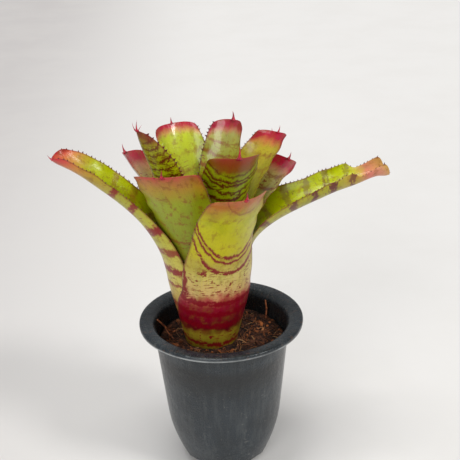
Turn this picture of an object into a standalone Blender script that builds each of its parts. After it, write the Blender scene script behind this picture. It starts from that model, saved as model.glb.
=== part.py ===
"""A potted bromeliad: a rosette of strap leaves on a short stem, in potting mix in a plastic nursery pot.

Lengths are in metres and angles in degrees, with +Z up. The origin is on the ground, under the middle of the
leaves' spread. The pot's axis and the plant's axis both stand a little to its left.
"""

import math

import bpy
import numpy as np

# The pot: a wall that tapers up to a flared lip, and tucks in to a foot ring with arched notches.
POT_X = -0.0049
POT_HEIGHT = 0.1040
WALL = 0.0016
NECK_RADIUS = 0.0452
NECK_BELOW_RIM = 0.0080
WALL_SLOPE = 0.105
TUCK = 0.0076
TUCK_HEIGHT = 0.0350
TUCK_POWER = 1.8
TUCK_OUTLINE = (0.0, 0.14, 0.34, 0.62, 1.0)
LIP_WIDTH = 0.0098
LIP_DROP = 0.0030
LIP_THICKNESS = 0.0019
LIP_EDGE_ROUNDING = 0.0016
LIP_RIM_WIDTH = 0.0014
MOUTH_ROUNDING = 0.0040
UNDER_LIP_ROUNDING = 0.0030
POT_STEPS = 50
POT_COLOUR = (0.045, 0.055, 0.060)
FLOOR_HEIGHT = 0.0065
FLOOR_THICKNESS = 0.0018
NOTCH_COUNT = 4
FIRST_NOTCH = 45
NOTCH_WIDTH = 0.0190
NOTCH_HEIGHT = 0.0042
NOTCH_SIDES = 48
DRAIN_COUNT = 6
FIRST_DRAIN = 15
DRAIN_RADIUS = 0.0035
DRAIN_RING_RADIUS = 0.0150
HOLE_SIDES = 12

# The potting mix fills the pot up to a little below the rim, and stands slightly higher in the middle.
MIX_BELOW_RIM = 0.0170
MIX_CROWN = 0.0020
MIX_RINGS = 5
MIX_COLOUR = (0.075, 0.035, 0.018)
CLEARANCE = 0.0004

# The stem, and the tube that the leaf bases make round it. Heights are measured from the top of the mix.
PLANT_OFFSET_X = -0.0070
STEM_RADIUS = 0.0040
STEM_FOOT = -0.0140
STEM_ABOVE_LAST_LEAF = 0.0040
STEM_POINT = 0.0050
STEM_FOOT_BEVEL = 0.0010
STEM_STEPS = 24
STEM_COLOUR = (0.30, 0.33, 0.12)
FIRST_LEAF = -0.0085
NODE_PITCH = 0.0028
BOWL_HEIGHT = 0.0070
TUBE_HEIGHTS = (-0.0085, 0.0000, 0.0150, 0.0270, 0.0400, 0.0600, 0.0900)
TUBE_RADII = (0.0135, 0.0170, 0.0208, 0.0240, 0.0272, 0.0300, 0.0315)

# The leaves. Each sheath lies inside the one before it, with a gap between them. It clasps the tube by WRAP
# degrees to either side of its middle. The larger WRAP_HELD is, the nearer to the blade it stays so wide.
LEAF_THICKNESS = 0.0009
LEAF_GAP = 0.00045
WRAP = 97
WRAP_HELD = 1.8
BOWL_ROWS = 3
SHEATH_ROWS = 6
FREE_ROWS = 9
TIP_ROW = 0.97
LARGEST_SAGITTA = 0.00025
FEWEST_CELLS = 8
LEAF_COLOUR = (0.30, 0.38, 0.06)

# How a leaf changes along its blade: the share of the length by which it tilts with its lean, and by which
# its cross-section has opened out, the share where it starts to narrow, and how late it narrows and swings.
TILTED_BY = 0.5
OPENED_BY = 0.45
NARROWS_FROM = 0.5
NARROWING_POWER = 3
SWAY_POWER = 1.5

# From the outermost leaf to the innermost:
#   azimuth   the side of the plant that the leaf grows on: 0 is right, 90 is the back and -90 is the front
#   rise      the height above the mix where the blade leaves the tube
#   length    the blade's length from there, along its middle
#   width     the blade's width, measured round its channel
#   leans     the blade's angles from upright, at even steps from its start to its tip
#   channel   the half-angles of the blade's cross-section, at its start and at its tip
#   sway      how far the blade swings sideways by its tip
#   twist     how far the blade rolls by its tip
#   tip       the share of the width that is left at the tip
LEAVES = {
    "front_leaf": {
        "azimuth": -73, "rise": 0.050, "length": 0.082, "width": 0.046,
        "leans": (13, 19, 26, 32, 36), "channel": (54, 34), "sway": 22, "twist": -5, "tip": 0.88,
    },
    "left_arching_leaf": {
        "azimuth": 182, "rise": 0.054, "length": 0.108, "width": 0.038,
        "leans": (7, 28, 45, 51, 64), "channel": (60, 68), "sway": 0, "twist": 0, "tip": 0.55,
    },
    "right_arching_leaf": {
        "azimuth": 8, "rise": 0.067, "length": 0.106, "width": 0.036,
        "leans": (10, 66, 70, 73, 80), "channel": (38, 112), "sway": 0, "twist": 0, "tip": 0.60,
    },
    "back_outer_leaf": {
        "azimuth": 99, "rise": 0.058, "length": 0.068, "width": 0.032,
        "leans": (8, 22, 38, 48, 54), "channel": (42, 38), "sway": 0, "twist": 0, "tip": 0.60,
    },
    "front_left_leaf": {
        "azimuth": -119, "rise": 0.060, "length": 0.079, "width": 0.046,
        "leans": (8, 14, 20, 26, 30), "channel": (50, 28), "sway": 0, "twist": 12, "tip": 0.92,
    },
    "right_red_leaf": {
        "azimuth": 34, "rise": 0.062, "length": 0.071, "width": 0.037,
        "leans": (8, 28, 46, 54, 56), "channel": (46, 34), "sway": 0, "twist": 0, "tip": 0.80,
    },
    "left_red_leaf": {
        "azimuth": 148, "rise": 0.064, "length": 0.074, "width": 0.036,
        "leans": (8, 24, 38, 43, 46), "channel": (50, 34), "sway": 0, "twist": 18, "tip": 0.80,
    },
    "back_right_leaf": {
        "azimuth": 43, "rise": 0.066, "length": 0.082, "width": 0.036,
        "leans": (6, 26, 42, 48, 50), "channel": (50, 34), "sway": 0, "twist": -6, "tip": 0.75,
    },
    "left_spiny_leaf": {
        "azimuth": 217, "rise": 0.068, "length": 0.095, "width": 0.038,
        "leans": (10, 15, 18, 21, 22), "channel": (52, 56), "sway": 0, "twist": 0, "tip": 0.16,
    },
    "front_inner_leaf": {
        "azimuth": -58, "rise": 0.070, "length": 0.074, "width": 0.041,
        "leans": (6, 12, 20, 22, 22), "channel": (60, 44), "sway": 0, "twist": -12, "tip": 0.85,
    },
    "back_left_leaf": {
        "azimuth": 118, "rise": 0.072, "length": 0.075, "width": 0.038,
        "leans": (6, 17, 23, 28, 32), "channel": (55, 38), "sway": 0, "twist": 0, "tip": 0.75,
    },
    "back_leaf": {
        "azimuth": 59, "rise": 0.074, "length": 0.074, "width": 0.036,
        "leans": (6, 14, 20, 22, 24), "channel": (60, 50), "sway": 0, "twist": -12, "tip": 0.70,
    },
    "young_leaf": {
        "azimuth": -40, "rise": 0.060, "length": 0.055, "width": 0.022,
        "leans": (2, 3, 5, 6, 8), "channel": (80, 70), "sway": 0, "twist": 0, "tip": 0.30,
    },
}

# Two dry roots: one stands in the mix by the back wall, and one leans from the mix on the left wall.
ROOT_RADIUS = 0.0007
ROOT_COLOUR = (0.30, 0.13, 0.05)
STANDING_ROOT_AZIMUTH = 37
STANDING_ROOT_HEIGHT = 0.0125
STANDING_ROOT_DEPTH = 0.0050
STANDING_ROOT_LEAN = 0.0015
LEANING_ROOT_AZIMUTH = 180
LEANING_ROOT_HEIGHT = 0.0125
LEANING_ROOT_FOOT_AZIMUTH = 168
LEANING_ROOT_FOOT_FROM_WALL = 0.0073
LEANING_ROOT_END_AZIMUTH = 187
LEANING_ROOT_END_FROM_WALL = 0.0098
LEANING_ROOT_SAG = 0.0006

MIX_TOP = POT_HEIGHT - MIX_BELOW_RIM
LEAF_SPACING = LEAF_THICKNESS + LEAF_GAP
NECK_HEIGHT = POT_HEIGHT - NECK_BELOW_RIM
FLOOR_TOP = FLOOR_HEIGHT + FLOOR_THICKNESS
PLANT_X = POT_X + PLANT_OFFSET_X

PARTS = "potted_bromeliad"
CUTTERS = "cutters"


def spline(knots, values, at):
    """A smooth curve through the values given at the knots."""
    knots = np.asarray(knots, float)
    values = np.asarray(values, float)
    slopes = np.gradient(values, knots)
    i = np.clip(np.searchsorted(knots, at, side="right") - 1, 0, len(knots) - 2)
    gap = knots[i + 1] - knots[i]
    t = (at - knots[i]) / gap
    near = (1 + 2 * t) * (1 - t) ** 2 * values[i] + t * (1 - t) ** 2 * gap * slopes[i]
    far = t * t * (3 - 2 * t) * values[i + 1] + t * t * (t - 1) * gap * slopes[i + 1]
    return near + far


def smooth_step(x):
    x = np.clip(x, 0.0, 1.0)
    return x * x * (3.0 - 2.0 * x)


def new_object(name, data, collection):
    obj = bpy.data.objects.new(name, data)
    bpy.data.collections[collection].objects.link(obj)
    return obj


def paint(obj, colour, roughness):
    material = bpy.data.materials.new(obj.name)
    material.use_nodes = True
    shader = material.node_tree.nodes["Principled BSDF"]
    shader.inputs["Base Color"].default_value = (*colour, 1.0)
    shader.inputs["Roughness"].default_value = roughness
    shader.inputs["Metallic"].default_value = 0.0
    obj.data.materials.append(material)


def turned(name, profile, steps, collection, centre_x):
    """A solid of revolution. Its profile runs over the top and down the outer side."""
    mesh = bpy.data.meshes.new(name)
    edges = [(i, i + 1) for i in range(len(profile) - 1)]
    mesh.from_pydata([(radius, 0.0, height) for radius, height in profile], edges, [])
    obj = new_object(name, mesh, collection)
    obj.location.x = centre_x
    screw = obj.modifiers.new("turn", "SCREW")
    screw.steps = steps
    screw.render_steps = steps
    screw.use_merge_vertices = True
    screw.merge_threshold = 0.000001
    return obj


def hide(cutter):
    cutter.hide_render = True
    cutter.display_type = "WIRE"


def cylinder_cutter(name, radius, depth, location, rotation, sides):
    bpy.ops.mesh.primitive_cylinder_add(
        vertices=sides, radius=radius, depth=depth, location=location, rotation=rotation
    )
    cutter = bpy.context.active_object
    cutter.name = name
    for collection in list(cutter.users_collection):
        collection.objects.unlink(cutter)
    bpy.data.collections[CUTTERS].objects.link(cutter)
    hide(cutter)
    return cutter


def cut(obj, cutter):
    boolean = obj.modifiers.new(cutter.name, "BOOLEAN")
    boolean.operation = "DIFFERENCE"
    boolean.object = cutter


# ---------------------------------------------------------------- pot


def wall_radius(height):
    """The radius of the outside of the pot's wall."""
    tuck = max(0.0, 1 - height / TUCK_HEIGHT) ** TUCK_POWER
    return NECK_RADIUS - WALL_SLOPE * (NECK_HEIGHT - height) - TUCK * tuck


def wall_heights(lowest):
    """Heights for the points of the wall's outline: close together where the wall tucks in."""
    tucked = [TUCK_HEIGHT * share for share in TUCK_OUTLINE]
    return [height for height in [*tucked, NECK_HEIGHT] if height > lowest]


def make_pot():
    inner_neck = NECK_RADIUS - WALL
    lip_radius = NECK_RADIUS + LIP_WIDTH
    under_lip = POT_HEIGHT - LIP_THICKNESS
    profile = [(0.0, FLOOR_TOP), (wall_radius(FLOOR_TOP) - WALL, FLOOR_TOP)]
    profile += [(wall_radius(height) - WALL, height) for height in wall_heights(FLOOR_TOP)]
    profile += [
        (inner_neck + 0.15 * MOUTH_ROUNDING, POT_HEIGHT - MOUTH_ROUNDING),
        (inner_neck + 0.55 * MOUTH_ROUNDING, POT_HEIGHT - 0.3 * MOUTH_ROUNDING),
        (inner_neck + MOUTH_ROUNDING, POT_HEIGHT),
        (lip_radius - LIP_EDGE_ROUNDING, POT_HEIGHT),
        (lip_radius - 0.25 * LIP_EDGE_ROUNDING, POT_HEIGHT - 0.5 * LIP_EDGE_ROUNDING),
        (lip_radius, POT_HEIGHT - LIP_EDGE_ROUNDING),
        (lip_radius, POT_HEIGHT - LIP_DROP),
        (lip_radius - LIP_RIM_WIDTH, POT_HEIGHT - LIP_DROP),
        (lip_radius - 1.5 * LIP_RIM_WIDTH, under_lip),
        (NECK_RADIUS + UNDER_LIP_ROUNDING, under_lip),
        (NECK_RADIUS + 0.25 * UNDER_LIP_ROUNDING, under_lip - 0.7 * UNDER_LIP_ROUNDING),
    ]
    profile += [(wall_radius(height), height) for height in reversed(wall_heights(0.0))]
    profile += [
        (wall_radius(0.0), 0.0),
        (wall_radius(0.0) - WALL, 0.0),
        (wall_radius(FLOOR_HEIGHT) - WALL, FLOOR_HEIGHT),
        (0.0, FLOOR_HEIGHT),
    ]
    pot = turned("pot", profile, POT_STEPS, PARTS, POT_X)
    cut_notches(pot)
    cut_drain_holes(pot)
    paint(pot, POT_COLOUR, 0.5)


def cut_notches(pot):
    """Arches through the foot ring, which leave the pot on four feet."""
    arch_radius = (NOTCH_WIDTH**2 / 4 + NOTCH_HEIGHT**2) / (2 * NOTCH_HEIGHT)
    foot_radius = wall_radius(0.0)
    for i in range(NOTCH_COUNT):
        angle = math.radians(FIRST_NOTCH + 360 * i / NOTCH_COUNT)
        cutter = cylinder_cutter(
            f"notch_cutter_{i + 1}",
            radius=arch_radius,
            depth=foot_radius,
            location=(
                POT_X + foot_radius * math.cos(angle),
                foot_radius * math.sin(angle),
                NOTCH_HEIGHT - arch_radius,
            ),
            rotation=(0, math.pi / 2, angle),
            sides=NOTCH_SIDES,
        )
        cut(pot, cutter)


def cut_drain_holes(pot):
    for i in range(DRAIN_COUNT):
        angle = math.radians(FIRST_DRAIN + 360 * i / DRAIN_COUNT)
        cutter = cylinder_cutter(
            f"drain_cutter_{i + 1}",
            radius=DRAIN_RADIUS,
            depth=4 * FLOOR_THICKNESS,
            location=(
                POT_X + DRAIN_RING_RADIUS * math.cos(angle),
                DRAIN_RING_RADIUS * math.sin(angle),
                FLOOR_HEIGHT + FLOOR_THICKNESS / 2,
            ),
            rotation=(0, 0, 0),
            sides=HOLE_SIDES,
        )
        cut(pot, cutter)


# ---------------------------------------------------------------- potting mix


def mix_radius(height):
    return wall_radius(height) - WALL - CLEARANCE


def mix_height(radius):
    """The height of the top of the mix, from the wall to its crown in the middle."""
    return MIX_TOP + MIX_CROWN * (1 - (radius / mix_radius(MIX_TOP)) ** 2)


def make_mix():
    bottom = FLOOR_TOP + CLEARANCE
    edge = mix_radius(MIX_TOP)
    profile = [(edge * i / MIX_RINGS, mix_height(edge * i / MIX_RINGS)) for i in range(MIX_RINGS + 1)]
    sides = [height for height in wall_heights(bottom) if height < MIX_TOP]
    profile += [(mix_radius(height), height) for height in reversed(sides)]
    profile += [(mix_radius(bottom), bottom), (0.0, bottom)]
    mix = turned("potting_mix", profile, POT_STEPS, PARTS, POT_X)
    cut(mix, plant_pit_cutter())
    cut(mix, root_hole_cutter())
    paint(mix, MIX_COLOUR, 0.95)


def plant_pit_cutter():
    """The hollow in the mix that holds the stem's foot and the outermost sheath."""
    foot = MIX_TOP + STEM_FOOT - CLEARANCE
    start = FIRST_LEAF - LEAF_THICKNESS / 2 - CLEARANCE
    first = STEM_RADIUS + CLEARANCE
    bowl = []
    for turn in np.linspace(0, 1, 5):
        widest = tube_radius(start + BOWL_HEIGHT * quarter_turn_rise(turn))
        bowl.append((first + (widest - first) * math.sin(turn * math.pi / 2), turn))
    above = 2 * MIX_CROWN
    profile = [(0.0, MIX_TOP + above), (tube_radius(above) + CLEARANCE, MIX_TOP + above)]
    for radius, turn in reversed(bowl):
        height = MIX_TOP + start + BOWL_HEIGHT * quarter_turn_rise(turn)
        profile.append((radius + CLEARANCE * math.sin(turn * math.pi / 2), height))
    profile += [(first, foot), (0.0, foot)]
    cutter = turned("plant_pit_cutter", profile, POT_STEPS, CUTTERS, PLANT_X)
    hide(cutter)
    return cutter


def quarter_turn_rise(turn):
    """How far a leaf base has risen by a share of its quarter turn away from the stem."""
    return 1 - math.cos(turn * math.pi / 2)


# ---------------------------------------------------------------- plant


def make_stem():
    last_leaf = FIRST_LEAF + (len(LEAVES) - 1) * NODE_PITCH
    top = MIX_TOP + last_leaf + STEM_ABOVE_LAST_LEAF
    profile = [
        (0.0, top),
        (STEM_RADIUS * 0.55, top - 0.12 * STEM_POINT),
        (STEM_RADIUS * 0.9, top - 0.48 * STEM_POINT),
        (STEM_RADIUS, top - STEM_POINT),
        (STEM_RADIUS, MIX_TOP + STEM_FOOT + STEM_FOOT_BEVEL),
        (STEM_RADIUS - STEM_FOOT_BEVEL, MIX_TOP + STEM_FOOT),
        (0.0, MIX_TOP + STEM_FOOT),
    ]
    stem = turned("stem", profile, STEM_STEPS, PARTS, PLANT_X)
    paint(stem, STEM_COLOUR, 0.6)


def tube_radius(height):
    """The outer radius of the tube of sheaths, at a height above the mix."""
    return spline(TUBE_HEIGHTS, TUBE_RADII, height)


def leaf_surface(rank, leaf):
    """The middle surface of a leaf, as rows of points from the stem to the tip."""
    inset = rank * LEAF_SPACING + LEAF_THICKNESS / 2
    start = FIRST_LEAF + rank * NODE_PITCH
    leaving = leaf["rise"]

    # The midline, as radii and heights: the base, the sheath and the blade.
    turn = np.linspace(0, math.pi / 2, BOWL_ROWS, endpoint=False)
    base_height = start + BOWL_HEIGHT * (1 - np.cos(turn))
    first = STEM_RADIUS + LEAF_THICKNESS / 2
    base_radius = first + (tube_radius(base_height) - inset - first) * np.sin(turn)
    sheath_height = np.linspace(start + BOWL_HEIGHT, leaving, SHEATH_ROWS, endpoint=False)
    sheath_radius = tube_radius(sheath_height) - inset
    fine = np.linspace(0, 1, 200)
    lean = np.radians(spline(np.linspace(0, 1, len(leaf["leans"])), leaf["leans"], fine))
    step = leaf["length"] / (len(fine) - 1)
    blade_radius = tube_radius(leaving) - inset + np.append(0, np.cumsum(np.sin(lean[1:]) * step))
    blade_height = leaving + np.append(0, np.cumsum(np.cos(lean[1:]) * step))
    along_blade = np.concatenate([np.linspace(0, 1, FREE_ROWS)[:-1], [TIP_ROW, 1.0]])
    radius = np.concatenate([base_radius, sheath_radius, np.interp(along_blade, fine, blade_radius)])
    height = np.concatenate([base_height, sheath_height, np.interp(along_blade, fine, blade_height)])
    below = BOWL_ROWS + SHEATH_ROWS
    along = np.concatenate([np.zeros(below), along_blade])
    tilt = np.concatenate([np.zeros(below), np.interp(along_blade, fine, lean)])
    tilt = tilt * smooth_step(along / TILTED_BY)

    # Each row is an arc, round the plant's axis in the sheath and round the channel's own axis in the blade.
    channel_start, channel_end = leaf["channel"]
    closed = np.clip((height - start) / (leaving - start), 0, 1)
    half_angle = WRAP + (channel_start - WRAP) * closed**WRAP_HELD
    half_angle[below:] = channel_start + (channel_end - channel_start) * along_blade
    half_angle = np.radians(half_angle)
    late = np.clip((along - NARROWS_FROM) / (1 - NARROWS_FROM), 0, 1)
    narrowing = 1 - (1 - leaf["tip"]) * late**NARROWING_POWER
    opened = smooth_step(along / OPENED_BY)
    half_width = half_angle * radius * (1 - opened) + leaf["width"] / 2 * narrowing * opened
    bend = half_width / half_angle
    cell = 2 * math.acos(1 - LARGEST_SAGITTA / (tube_radius(leaving) - inset))
    cells = max(FEWEST_CELLS, 2 * math.ceil(math.radians(WRAP) / cell))
    around = np.linspace(-1, 1, cells + 1)[None, :] * half_angle[:, None]

    # The blade swings sideways and rolls on its way to the tip.
    heading = np.radians(leaf["azimuth"] + leaf["sway"] * along**SWAY_POWER)
    roll = (np.radians(leaf["twist"]) * smooth_step(along))[:, None]
    out = np.stack([np.cos(heading), np.sin(heading), np.zeros_like(heading)], axis=-1)
    side = np.stack([-np.sin(heading), np.cos(heading), np.zeros_like(heading)], axis=-1)
    middle = np.zeros((len(radius), 3))
    middle[0] = radius[0] * out[0]
    middle[1:] = middle[0] + np.cumsum(np.diff(radius)[:, None] * (out[1:] + out[:-1]) / 2, axis=0)
    middle[:, 2] = height
    inward = -np.cos(tilt)[:, None] * out + np.sin(tilt)[:, None] * np.array([0.0, 0.0, 1.0])
    across = side * np.cos(roll) + inward * np.sin(roll)
    inward = inward * np.cos(roll) - side * np.sin(roll)
    sideways = (bend[:, None] * np.sin(around))[..., None] * across[:, None, :]
    inwards = (bend[:, None] * (1 - np.cos(around)))[..., None] * inward[:, None, :]
    return middle[:, None, :] + sideways + inwards + np.array([PLANT_X, 0.0, MIX_TOP])


def make_leaf(rank, name, leaf):
    rows = leaf_surface(rank, leaf)
    count, points, _ = rows.shape
    faces = [
        (i * points + j, i * points + j + 1, (i + 1) * points + j + 1, (i + 1) * points + j)
        for i in range(count - 1)
        for j in range(points - 1)
    ]
    mesh = bpy.data.meshes.new(name)
    mesh.from_pydata(rows.reshape(-1, 3).tolist(), [], faces)
    mesh.shade_smooth()
    obj = new_object(name, mesh, PARTS)
    skin = obj.modifiers.new("thickness", "SOLIDIFY")
    skin.thickness = LEAF_THICKNESS
    skin.offset = 0.0
    paint(obj, LEAF_COLOUR, 0.35)


# ---------------------------------------------------------------- roots


def in_pot(azimuth, radius, height):
    angle = math.radians(azimuth)
    return (POT_X + radius * math.cos(angle), radius * math.sin(angle), height)


def standing_root_points():
    reach = mix_radius(MIX_TOP) - 3 * ROOT_RADIUS - STANDING_ROOT_LEAN
    foot = in_pot(STANDING_ROOT_AZIMUTH, reach, mix_height(reach) - STANDING_ROOT_DEPTH)
    x, y, z = in_pot(STANDING_ROOT_AZIMUTH, reach, mix_height(reach))
    return [
        foot,
        (x, y, z),
        (x + 0.25 * STANDING_ROOT_LEAN, y, z + 0.5 * STANDING_ROOT_HEIGHT),
        (x - 0.25 * STANDING_ROOT_LEAN, y, z + STANDING_ROOT_HEIGHT),
    ]


def leaning_root_points():
    """From the wall's inside down to the mix, and a little way along it."""
    gap = ROOT_RADIUS + 2 * CLEARANCE
    high = MIX_TOP + LEANING_ROOT_HEIGHT
    foot_radius = mix_radius(MIX_TOP) - LEANING_ROOT_FOOT_FROM_WALL
    end_radius = mix_radius(MIX_TOP) - LEANING_ROOT_END_FROM_WALL
    top = in_pot(LEANING_ROOT_AZIMUTH, wall_radius(high) - WALL - gap, high)
    foot = in_pot(LEANING_ROOT_FOOT_AZIMUTH, foot_radius, mix_height(foot_radius) + gap)
    end = in_pot(LEANING_ROOT_END_AZIMUTH, end_radius, mix_height(end_radius) + gap)
    halfway = [(a + b) / 2 for a, b in zip(top, foot)]
    halfway[2] -= LEANING_ROOT_SAG
    return [top, tuple(halfway), foot, end]


def make_root(name, points):
    curve = bpy.data.curves.new(name, "CURVE")
    curve.dimensions = "3D"
    curve.bevel_depth = ROOT_RADIUS
    curve.bevel_resolution = 2
    curve.use_fill_caps = True
    line = curve.splines.new("POLY")
    line.points.add(len(points) - 1)
    for point, place in zip(line.points, points):
        point.co = (*place, 1.0)
    root = new_object(name, curve, PARTS)
    paint(root, ROOT_COLOUR, 0.8)


def root_hole_cutter():
    x, y, z = standing_root_points()[0]
    depth = 2 * STANDING_ROOT_DEPTH + 2 * CLEARANCE
    return cylinder_cutter(
        "root_hole_cutter",
        radius=ROOT_RADIUS + CLEARANCE,
        depth=depth,
        location=(x, y, z - CLEARANCE + depth / 2),
        rotation=(0, 0, 0),
        sides=HOLE_SIDES,
    )


# ---------------------------------------------------------------- the whole


def clear_scene():
    for obj in list(bpy.data.objects):
        bpy.data.objects.remove(obj)
    for name in (PARTS, CUTTERS):
        collection = bpy.data.collections.new(name)
        bpy.context.scene.collection.children.link(collection)


def main():
    clear_scene()
    make_pot()
    make_mix()
    make_stem()
    for rank, (name, leaf) in enumerate(LEAVES.items()):
        make_leaf(rank, name, leaf)
    make_root("standing_root", standing_root_points())
    make_root("leaning_root", leaning_root_points())


main()
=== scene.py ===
"""How the potted bromeliad looks: fine leaves, pot, potting mix and roots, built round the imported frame.

Lengths are in metres, in the frame's own axes: +Z up, the front towards -Y. Distances along a leaf are in
millimetres from its tip, because its colours follow them.
"""

import math

import bpy
import numpy as np
from mathutils import Matrix, Vector, noise


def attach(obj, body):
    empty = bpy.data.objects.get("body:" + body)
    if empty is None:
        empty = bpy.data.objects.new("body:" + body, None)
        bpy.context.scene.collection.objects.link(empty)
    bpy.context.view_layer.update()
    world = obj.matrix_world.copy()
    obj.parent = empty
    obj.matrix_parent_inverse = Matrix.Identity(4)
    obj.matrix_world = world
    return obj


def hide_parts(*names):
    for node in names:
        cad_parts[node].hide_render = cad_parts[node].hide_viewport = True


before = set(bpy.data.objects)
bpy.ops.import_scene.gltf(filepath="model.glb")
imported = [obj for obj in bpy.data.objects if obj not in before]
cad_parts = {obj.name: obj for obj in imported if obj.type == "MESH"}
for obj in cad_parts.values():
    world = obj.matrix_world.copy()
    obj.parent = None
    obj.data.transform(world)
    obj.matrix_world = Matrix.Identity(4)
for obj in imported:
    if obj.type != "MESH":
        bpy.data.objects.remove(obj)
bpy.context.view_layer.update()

MM = 0.001
SEED = 11
ROOT = "root"


# ---- small helpers


def srgb(red, green, blue):
    """A linear colour from the usual 0 to 255 values."""
    shares = [value / 255 for value in (red, green, blue)]
    return tuple(s / 12.92 if s <= 0.04045 else ((s + 0.055) / 1.055) ** 2.4 for s in shares)


def smooth_step(x, low=0.0, high=1.0):
    x = np.clip((x - low) / (high - low), 0.0, 1.0)
    return x * x * (3.0 - 2.0 * x)


def unit(vectors):
    return vectors / np.maximum(np.linalg.norm(vectors, axis=-1, keepdims=True), 1e-12)


def between(t, start, end, slope_out, slope_in, gap=1.0):
    """A cubic curve from start to end, a gap apart, with its slopes there."""
    near = (1 + 2 * t) * (1 - t) ** 2 * start + t * (1 - t) ** 2 * gap * slope_out
    far = t * t * (3 - 2 * t) * end + t * t * (t - 1) * gap * slope_in
    return near + far


def hermite(knots, values, at):
    """A smooth curve through values (one per knot, each a number or an array), read at many places."""
    slopes = np.gradient(values, knots, axis=0)
    i = np.clip(np.searchsorted(knots, at, side="right") - 1, 0, len(knots) - 2)
    gap = knots[i + 1] - knots[i]
    t = (at - knots[i]) / gap
    shape = (len(at),) + (1,) * (values.ndim - 1)
    gap = gap.reshape(shape)
    t = t.reshape(shape)
    return between(t, values[i], values[i + 1], slopes[i], slopes[i + 1], gap)


def new_mesh(name, points, faces, smooth=True):
    mesh = bpy.data.meshes.new(name)
    mesh.from_pydata([tuple(p) for p in points], [], faces)
    if smooth:
        mesh.shade_smooth()
    mesh.update()
    obj = bpy.data.objects.new(name, mesh)
    bpy.context.scene.collection.objects.link(obj)
    return obj


def tube_faces(rings, sides):
    """The faces of a closed tube: rings of points that follow each other, and a cap at each end."""
    faces = [
        (i + j, i + (j + 1) % sides, i + sides + (j + 1) % sides, i + sides + j)
        for i in range(0, (rings - 1) * sides, sides)
        for j in range(sides)
    ]
    return [*faces, tuple(range(sides))[::-1], tuple(range((rings - 1) * sides, rings * sides))]


def finish_piece(obj, slot, *nodes):
    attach(obj, ROOT)
    if nodes:
        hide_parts(*nodes)
    return obj


class Parts:
    """Collects the points and faces of many small solids, to make one mesh of them."""

    def __init__(self):
        self.points = []
        self.faces = []
        self.slots = []
        self.tints = []

    def add(self, points, faces, slot=0, tint=0.0):
        first = len(self.points)
        self.points.extend(tuple(p) for p in points)
        self.faces.extend(tuple(first + i for i in face) for face in faces)
        self.slots.extend([slot] * len(faces))
        self.tints.extend([tint] * len(points))


# ---- materials


class Look:
    """A material whose nodes are made by short calls. Each call takes sockets or plain numbers."""

    def __init__(self, name):
        self.material = bpy.data.materials.new(name)
        self.material.use_nodes = True
        self.tree = self.material.node_tree
        self.shader = self.tree.nodes["Principled BSDF"]

    def put(self, socket, value):
        if isinstance(value, bpy.types.NodeSocket):
            self.tree.links.new(value, socket)
        elif isinstance(value, (tuple, list)) and len(value) == 3 and socket.type == "RGBA":
            socket.default_value = (*value, 1.0)
        else:
            socket.default_value = value

    def set(self, **values):
        for name, value in values.items():
            self.put(self.shader.inputs[name.replace("_", " ")], value)

    def attribute(self, name):
        node = self.tree.nodes.new("ShaderNodeAttribute")
        node.attribute_name = name
        return node

    def position(self):
        return self.tree.nodes.new("ShaderNodeTexCoord").outputs["Object"]

    def split(self, vector):
        node = self.tree.nodes.new("ShaderNodeSeparateXYZ")
        self.put(node.inputs[0], vector)
        return node.outputs

    def join(self, x, y, z):
        node = self.tree.nodes.new("ShaderNodeCombineXYZ")
        for socket, value in zip(node.inputs, (x, y, z)):
            self.put(socket, value)
        return node.outputs[0]

    def math(self, operation, a, b=0.0, c=0.0, clamp=False):
        node = self.tree.nodes.new("ShaderNodeMath")
        node.operation = operation
        node.use_clamp = clamp
        for socket, value in zip(node.inputs, (a, b, c)):
            self.put(socket, value)
        return node.outputs[0]

    def add(self, a, b):
        return self.math("ADD", a, b)

    def sub(self, a, b):
        return self.math("SUBTRACT", a, b)

    def mul(self, a, b):
        return self.math("MULTIPLY", a, b)

    def most(self, a, b):
        return self.math("MAXIMUM", a, b)

    def step(self, value, low, high, to_low=0.0, to_high=1.0):
        node = self.tree.nodes.new("ShaderNodeMapRange")
        node.interpolation_type = "SMOOTHSTEP"
        for socket, number in zip(node.inputs, (value, low, high, to_low, to_high)):
            self.put(socket, number)
        return node.outputs[0]

    def noise(self, vector, scale, detail=2.0, roughness=0.5):
        node = self.tree.nodes.new("ShaderNodeTexNoise")
        self.put(node.inputs["Vector"], vector)
        node.inputs["Scale"].default_value = scale
        node.inputs["Detail"].default_value = detail
        node.inputs["Roughness"].default_value = roughness
        return node.outputs["Fac"]

    def stretched(self, vector, scales, detail=2.0, roughness=0.5):
        """Noise with a scale of its own along each axis."""
        axes = [self.mul(axis, scale) for axis, scale in zip(self.split(vector), scales)]
        return self.noise(self.join(*axes), 1.0, detail, roughness)

    def cells(self, vector, scale):
        node = self.tree.nodes.new("ShaderNodeTexVoronoi")
        self.put(node.inputs["Vector"], vector)
        node.inputs["Scale"].default_value = scale
        return node.outputs["Distance"]

    def ramp(self, value, stops):
        node = self.tree.nodes.new("ShaderNodeValToRGB")
        elements = node.color_ramp.elements
        while len(elements) < len(stops):
            elements.new(1.0)
        for element, (place, colour) in zip(elements, stops):
            element.position = place
            if isinstance(colour, (int, float)):
                colour = (colour, colour, colour)
            element.color = (*colour, 1.0)
        self.put(node.inputs[0], value)
        return node.outputs[0]

    def blend(self, share, a, b, kind="MIX"):
        node = self.tree.nodes.new("ShaderNodeMix")
        node.data_type = "RGBA"
        node.blend_type = kind
        self.put(node.inputs[0], share)
        self.put(node.inputs[6], a)
        self.put(node.inputs[7], b)
        return node.outputs[2]

    def bump(self, height, distance, strength):
        node = self.tree.nodes.new("ShaderNodeBump")
        node.inputs["Strength"].default_value = strength
        node.inputs["Distance"].default_value = distance
        self.put(node.inputs["Height"], height)
        return node.outputs[0]


# ---- leaves: shape

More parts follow.
